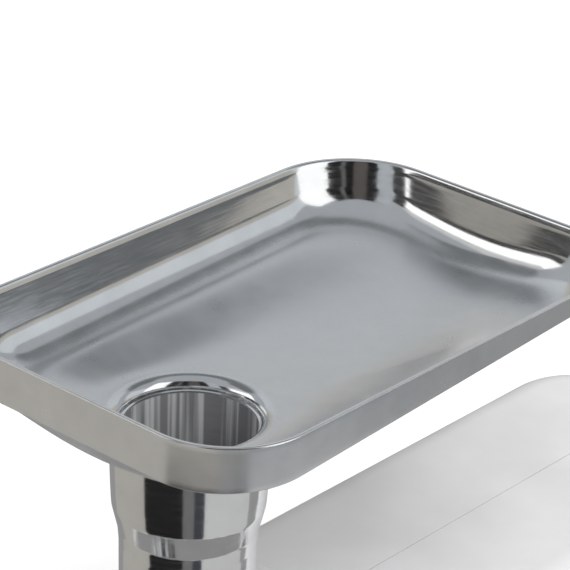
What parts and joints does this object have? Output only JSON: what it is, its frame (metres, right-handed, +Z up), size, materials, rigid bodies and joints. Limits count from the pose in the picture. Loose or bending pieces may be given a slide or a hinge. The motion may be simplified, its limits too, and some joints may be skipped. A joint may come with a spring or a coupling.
{
  "type": "electric meat grinder",
  "caption": "Countertop electric meat grinder with a polished aluminium tray and head, auger, knife and plate, geared motor and a grey plastic housing.",
  "frame": {"origin": "bottom centre of the whole object's bounding box, on the surface the feet stand on, in the plane where the housing parts", "axes": "+Z up; -Y towards the outlet at the front, +Y towards the mains inlet at the rear; +X to the machine's own left as seen from the rear, the switch side"},
  "size_m": [0.163, 0.45, 0.3426],
  "materials": {
    "housing_plastic": "fine-grained moulded plastic, light grey",
    "front_plastic": "moulded plastic, mid grey",
    "black_plastic": "moulded plastic, black",
    "switch_plastic": "smooth red plastic",
    "gear_plastic": "natural nylon",
    "polished_aluminium": "polished casting with a satin floor",
    "cast_aluminium": "as-cast satin",
    "bright_steel": "ground steel",
    "zinc_steel": "zinc-plated",
    "lamination_steel": "stacked laminations",
    "copper": "enamelled copper",
    "bronze": "sintered bronze",
    "carbon": "pressed carbon",
    "rubber": "moulded rubber"
  },
  "bodies": {
    "root": {"left_shell": "housing_plastic", "right_shell": "housing_plastic", "front_cover": "front_plastic", "base_plate": "black_plastic", "head_socket": "cast_aluminium", "cord_gland": "black_plastic", "switch_bezel": "black_plastic", "switch_body": "black_plastic", "output_bush_front": "bronze", "output_bush_rear": "bronze", "gear_pin_a": "bright_steel", "gear_pin_b": "bright_steel", "gearbox_case": "cast_aluminium", "gearbox_cover": "cast_aluminium", "stator_core": "lamination_steel", "field_coil_upper": "copper", "field_coil_lower": "copper", "motor_bracket_front": "zinc_steel", "motor_bracket_rear": "zinc_steel", "motor_bearing_front": "bright_steel", "motor_bearing_rear": "bright_steel", "motor_bolt_left": "zinc_steel", "motor_bolt_right": "zinc_steel", "carbon_brush_left": "carbon", "carbon_brush_right": "carbon", "shell_screw_low": "zinc_steel", "shell_screw_high": "zinc_steel", "foot_front_left": "rubber", "foot_screw_front_left": "zinc_steel", "foot_front_right": "rubber", "foot_screw_front_right": "zinc_steel", "foot_rear_left": "rubber", "foot_screw_rear_left": "zinc_steel", "foot_rear_right": "rubber", "foot_screw_rear_right": "zinc_steel", "cover_screw_low_left": "zinc_steel", "cover_screw_low_right": "zinc_steel", "cover_screw_high_left": "zinc_steel", "cover_screw_high_right": "zinc_steel"},
    "head": {"head_casting": "polished_aluminium", "grinding_plate": "bright_steel"},
    "auger": {"auger": "cast_aluminium", "knife": "bright_steel", "thrust_washer": "gear_plastic"},
    "ring_nut": {"ring_nut": "polished_aluminium"},
    "tray": {"tray": "polished_aluminium"},
    "lock_knob": {"lock_knob": "black_plastic"},
    "rocker": {"switch_rocker": "switch_plastic"},
    "output": {"output_gear": "bright_steel", "output_shaft": "bright_steel"},
    "gear_b": {"wheel_b": "gear_plastic", "pinion_b": "bright_steel"},
    "gear_a": {"wheel_a": "gear_plastic", "pinion_a": "bright_steel"},
    "rotor": {"motor_shaft": "bright_steel", "armature_core": "lamination_steel", "commutator": "copper", "cooling_fan": "black_plastic", "motor_pinion": "bright_steel"}
  },
  "joints": [
    {"name": "head_slide", "type": "slide", "parent": "root", "child": "head", "axis": [0, -1, 0], "range_m": [0, 0.06]},
    {"name": "auger_spin", "type": "hinge", "parent": "head", "child": "auger", "pos_m": [0, -0.1, 0.138], "axis": [0, 1, 0], "continuous": true},
    {"name": "ring_nut_turn", "type": "hinge", "parent": "head", "child": "ring_nut", "pos_m": [0, -0.225, 0.138], "axis": [0, -1, 0], "range_deg": [0, 810]},
    {"name": "tray_lift", "type": "slide", "parent": "head", "child": "tray", "axis": [0, 0, 1], "range_m": [0, 0.05]},
    {"name": "lock_knob_turn", "type": "hinge", "parent": "root", "child": "lock_knob", "pos_m": [-0.04, -0.058, 0.138], "axis": [-1, 0, 0], "range_deg": [0, 540]},
    {"name": "rocker_tilt", "type": "hinge", "parent": "root", "child": "rocker", "pos_m": [0.064, 0.075, 0.07], "axis": [0, 0, 1], "range_deg": [-10, 10]},
    {"name": "output_spin", "type": "hinge", "parent": "root", "child": "output", "pos_m": [0, 0, 0.138], "axis": [0, 1, 0], "continuous": true},
    {"name": "gear_b_spin", "type": "hinge", "parent": "root", "child": "gear_b", "pos_m": [0.02753, 0, 0.09868], "axis": [0, 1, 0], "continuous": true},
    {"name": "gear_a_spin", "type": "hinge", "parent": "root", "child": "gear_a", "pos_m": [0.02121, 0, 0.06553], "axis": [0, 1, 0], "continuous": true},
    {"name": "motor_spin", "type": "hinge", "parent": "root", "child": "rotor", "pos_m": [0, 0.1, 0.084], "axis": [0, 1, 0], "continuous": true}
  ],
  "couplings": [
    {"joint": "output_spin", "follows": "auger_spin", "ratio": 1},
    {"joint": "gear_b_spin", "follows": "auger_spin", "ratio": -3.8},
    {"joint": "gear_a_spin", "follows": "auger_spin", "ratio": 15.2},
    {"joint": "motor_spin", "follows": "auger_spin", "ratio": -60.8}
  ]
}
